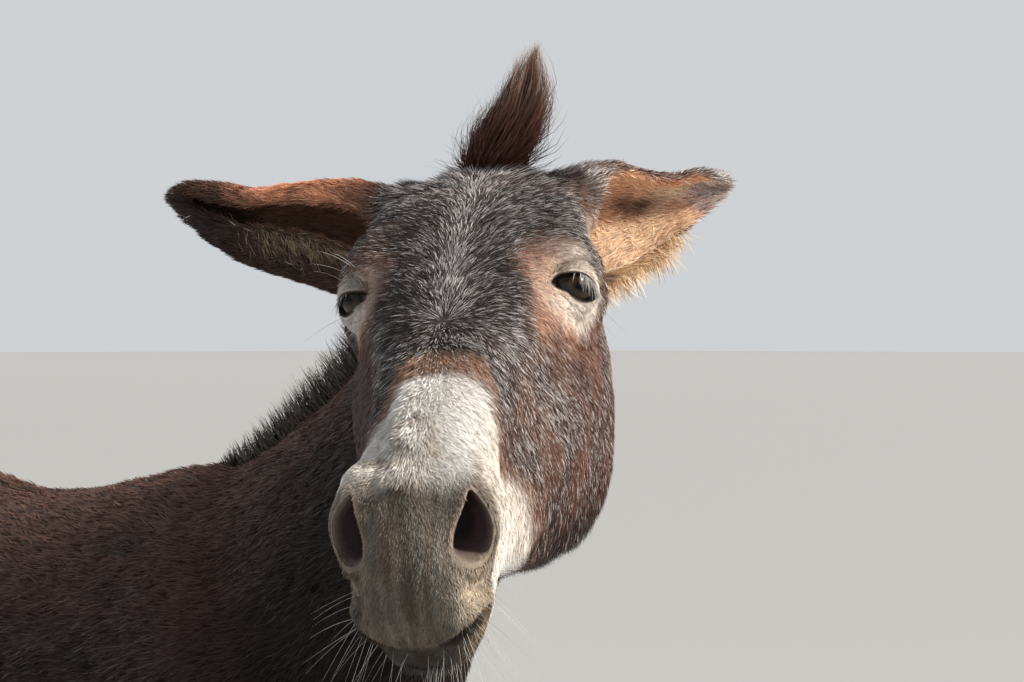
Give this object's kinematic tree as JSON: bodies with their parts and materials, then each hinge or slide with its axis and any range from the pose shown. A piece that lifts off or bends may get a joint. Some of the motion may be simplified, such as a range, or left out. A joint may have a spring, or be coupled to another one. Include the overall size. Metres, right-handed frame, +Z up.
{
  "type": "donkey",
  "caption": "Life-size standing donkey with its head turned to the right, ears out sideways, upright mane and tufted tail, resting on its hooves.",
  "frame": {"origin": "on the floor, under the middle of the model's bounding box", "axes": "+Z up, the donkey's body faces -Y, its left is +X"},
  "size_m": [0.6726, 1.7632, 1.4667],
  "materials": {
    "coat": "short dark brown hair over skin, matte",
    "mane_hair": "coarse long hair, slightly glossy",
    "hoof_horn": "dark horn, satin",
    "eye": "wet, glossy"
  },
  "bodies": {
    "root": {"ear_left": "coat", "ear_right": "coat", "eye_left": "eye", "eye_right": "eye", "forelock": "mane_hair", "head": "coat", "hoof_front_left": "hoof_horn", "hoof_front_right": "hoof_horn", "hoof_hind_left": "hoof_horn", "hoof_hind_right": "hoof_horn", "leg_front_left": "coat", "leg_front_right": "coat", "leg_hind_left": "coat", "leg_hind_right": "coat", "mane": "mane_hair", "neck": "coat", "tail": "coat", "tail_tuft": "mane_hair", "trunk": "coat"}
  },
  "joints": []
}
